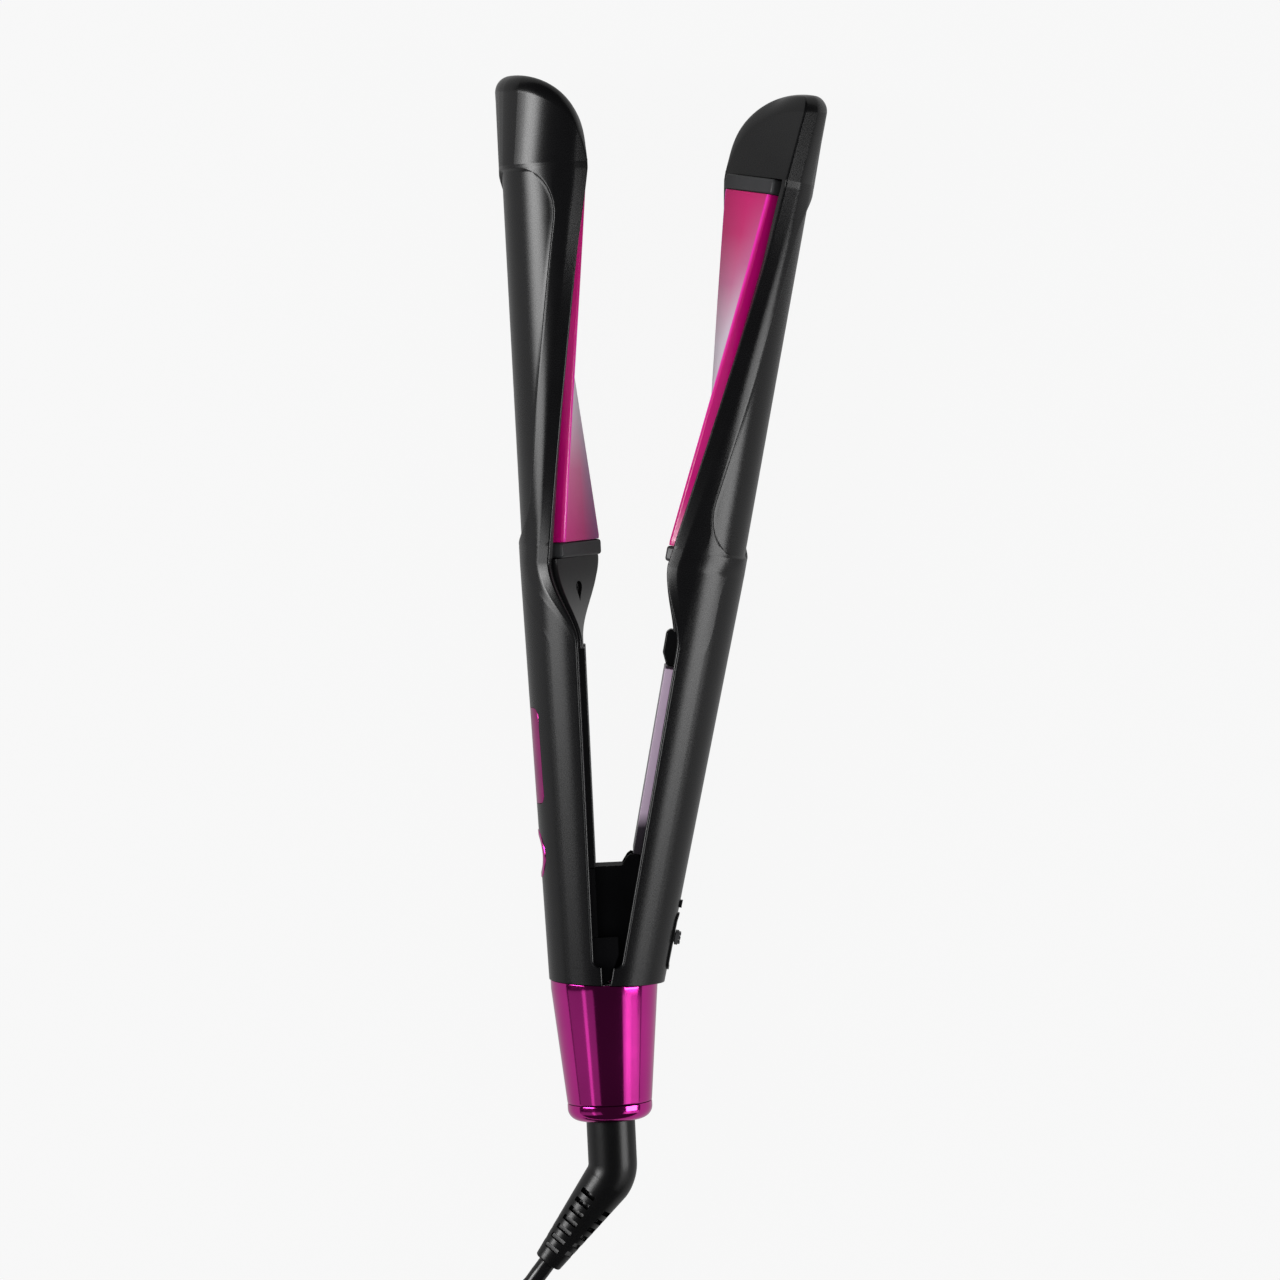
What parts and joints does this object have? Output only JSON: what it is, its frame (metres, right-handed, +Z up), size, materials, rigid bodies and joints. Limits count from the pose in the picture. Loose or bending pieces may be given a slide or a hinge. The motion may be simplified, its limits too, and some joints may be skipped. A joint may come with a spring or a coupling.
{
  "type": "twisted-plate hair styling iron",
  "caption": "Corded hair styling iron with two hinged arms, twisted heated plates, a display window, a lock slide and a swivel cord with a two-pin plug.",
  "frame": {"origin": "under the middle of the opened iron (cord left out), on the surface that it lies on", "axes": "+X from the fixed arm towards the opened moving arm, +Y from the cord end towards the noses, +Z up from the surface"},
  "size_m": [0.1509, 0.467, 0.0374],
  "materials": {
    "black_satin": "satin black soft-touch",
    "black_moulding": "fine-textured black moulding",
    "mauve_cover": "satin mauve",
    "magenta_plate": "pearly magenta coating fading to lavender",
    "magenta_chrome": "mirror-bright tinted plating",
    "magenta_button": "gloss purple",
    "violet_window": "tinted gloss window",
    "grey_button": "fine-textured grey",
    "grey_ceramic": "dull grey",
    "green_board": "board lacquer",
    "spring_steel": "drawn",
    "nickel_pins": "nickel plated",
    "black_rubber": "smooth black sheath"
  },
  "bodies": {
    "fixed": {"fixed_shell": "black_satin", "fixed_plate": "magenta_plate", "fixed_carrier": "black_moulding", "fixed_bar_low": "black_moulding", "fixed_bar_top": "black_moulding", "fixed_heater": "grey_ceramic", "fixed_clamp": "spring_steel", "fixed_neck_cover": "black_moulding", "fixed_cover": "black_moulding", "throat_web": "black_moulding", "display_window": "violet_window", "display_module": "grey_ceramic", "circuit_board": "green_board", "power_switch": "grey_button", "button_ring": "magenta_chrome", "hinge_fork": "spring_steel", "hinge_pin": "spring_steel", "hinge_washers": "spring_steel", "opening_spring": "spring_steel", "tail_cone": "magenta_chrome", "tail_ring": "magenta_chrome", "swivel_retainer": "black_moulding", "fixed_screws": "spring_steel"},
    "moving": {"moving_shell": "black_satin", "moving_plate": "magenta_plate", "moving_carrier": "black_moulding", "moving_bar_low": "black_moulding", "moving_bar_top": "black_moulding", "moving_heater": "grey_ceramic", "moving_clamp": "spring_steel", "moving_neck_cover": "black_moulding", "moving_cover": "mauve_cover", "alignment_post": "black_moulding", "hinge_link": "spring_steel", "lock_track": "black_moulding", "moving_screws": "spring_steel"},
    "lock": {"lock_knob": "grey_button", "lock_hook": "spring_steel"},
    "button": {"power_button": "magenta_button"},
    "cord": {"cord_boot": "black_rubber", "cord_run": "black_rubber", "cord_coil": "black_rubber", "plug_tail": "black_rubber", "plug_relief": "black_rubber", "plug_body": "black_rubber", "plug_pins": "nickel_pins"}
  },
  "joints": [
    {"name": "arm_hinge", "type": "hinge", "parent": "fixed", "child": "moving", "pos_m": [-0.02766, -0.11475, 0.01869], "axis": [0, 0, 1], "range_deg": [0, 12.5], "stiffness_Nm_per_rad": 0.35, "springref_deg": -20.05, "deforming": ["opening_spring"]},
    {"name": "power_button", "type": "slide", "parent": "fixed", "child": "button", "axis": [1, 0, 0], "range_m": [0, 0.0006], "stiffness_N_per_m": 500, "springref_m": -0.0004},
    {"name": "lock_slide", "type": "slide", "parent": "moving", "child": "lock", "axis": [-0.2164, -0.9763, 0], "range_m": [0, 0.005]},
    {"name": "cord_swivel", "type": "hinge", "parent": "fixed", "child": "cord", "pos_m": [-0.02766, -0.15275, 0.01869], "axis": [0, 1, 0], "continuous": true}
  ]
}
